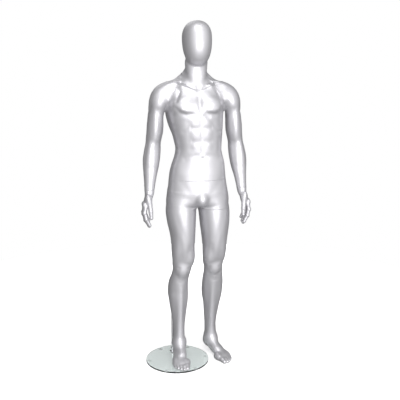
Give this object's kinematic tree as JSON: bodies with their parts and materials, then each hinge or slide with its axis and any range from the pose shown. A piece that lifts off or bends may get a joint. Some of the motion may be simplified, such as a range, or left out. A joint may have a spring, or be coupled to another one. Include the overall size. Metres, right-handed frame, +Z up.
{
  "type": "full body mannequin",
  "caption": "Faceless male full body display mannequin with part-turn waist, arm, hand and leg joints, standing on a round glass base with a calf rod.",
  "frame": {"origin": "centre of the glass base's underside, on the floor plane", "axes": "+Z up the figure, -Y the way it faces, +X towards its left-hand side"},
  "size_m": [0.583, 0.3536, 1.8499],
  "materials": {
    "paint": "satin metallic silver paint on laminate",
    "base_glass": "polished tempered glass, faint green",
    "clear_pad": "clear soft bumper",
    "white_plastic": "moulded nylon",
    "black_rubber": "matt",
    "chrome": "bright plated",
    "black_steel": "black oxide",
    "zinc_steel": "zinc plated"
  },
  "bodies": {
    "base": {"glass_disc": "base_glass", "floor_pads": "clear_pad", "bolt_bush": "white_plastic", "base_washer": "zinc_steel", "base_bolt": "zinc_steel", "flange_gasket": "black_rubber", "base_flange": "chrome", "flange_grub_screw": "black_steel", "calf_rod": "chrome"},
    "lower_body": {"lower_body_shell": "paint", "calf_socket": "zinc_steel", "waist_socket_plate": "zinc_steel", "waist_socket_screws": "zinc_steel", "thigh_socket_plate": "zinc_steel", "thigh_socket_screws": "zinc_steel"},
    "left_leg": {"left_leg_shell": "paint", "thigh_spigot": "zinc_steel", "thigh_spigot_screws": "zinc_steel"},
    "torso": {"torso_shell": "paint", "waist_spigot": "zinc_steel", "waist_spigot_screws": "zinc_steel", "left_shoulder_socket_plate": "zinc_steel", "left_shoulder_socket_screws": "zinc_steel", "right_shoulder_socket_plate": "zinc_steel", "right_shoulder_socket_screws": "zinc_steel"},
    "left_arm": {"left_arm_shell": "paint", "left_shoulder_spigot": "zinc_steel", "left_shoulder_spigot_screws": "zinc_steel", "left_wrist_socket_plate": "zinc_steel", "left_wrist_socket_screws": "zinc_steel"},
    "left_hand": {"left_hand": "paint", "left_wrist_spigot": "zinc_steel", "left_wrist_spigot_screws": "zinc_steel"},
    "right_arm": {"right_arm_shell": "paint", "right_shoulder_spigot": "zinc_steel", "right_shoulder_spigot_screws": "zinc_steel", "right_wrist_socket_plate": "zinc_steel", "right_wrist_socket_screws": "zinc_steel"},
    "right_hand": {"right_hand": "paint", "right_wrist_spigot": "zinc_steel", "right_wrist_spigot_screws": "zinc_steel"}
  },
  "joints": [
    {"name": "figure_lift", "type": "slide", "parent": "base", "child": "lower_body", "axis": [0, 0, 1], "range_m": [0, 0.16]},
    {"name": "torso_twist", "type": "hinge", "parent": "lower_body", "child": "torso", "pos_m": [0.113, 0, 1.036], "axis": [0, 0, 1], "range_deg": [0, 35]},
    {"name": "left_leg_twist", "type": "hinge", "parent": "lower_body", "child": "left_leg", "pos_m": [0.203, 0.001, 0.878], "axis": [0, 0, 1], "range_deg": [-30, 0]},
    {"name": "left_arm_swing", "type": "hinge", "parent": "torso", "child": "left_arm", "pos_m": [0.222, 0.012, 1.49], "axis": [-0.8829, 0, -0.4695], "range_deg": [0, 40]},
    {"name": "left_hand_twist", "type": "hinge", "parent": "left_arm", "child": "left_hand", "pos_m": [0.351, -0.025, 0.988], "axis": [0, 0, 1], "range_deg": [0, 40]},
    {"name": "right_arm_swing", "type": "hinge", "parent": "torso", "child": "right_arm", "pos_m": [-0.016, 0.012, 1.49], "axis": [-0.8829, 0, 0.4695], "range_deg": [0, 40]},
    {"name": "right_hand_twist", "type": "hinge", "parent": "right_arm", "child": "right_hand", "pos_m": [-0.145, -0.025, 0.988], "axis": [0, 0, 1], "range_deg": [-40, 0]}
  ]
}
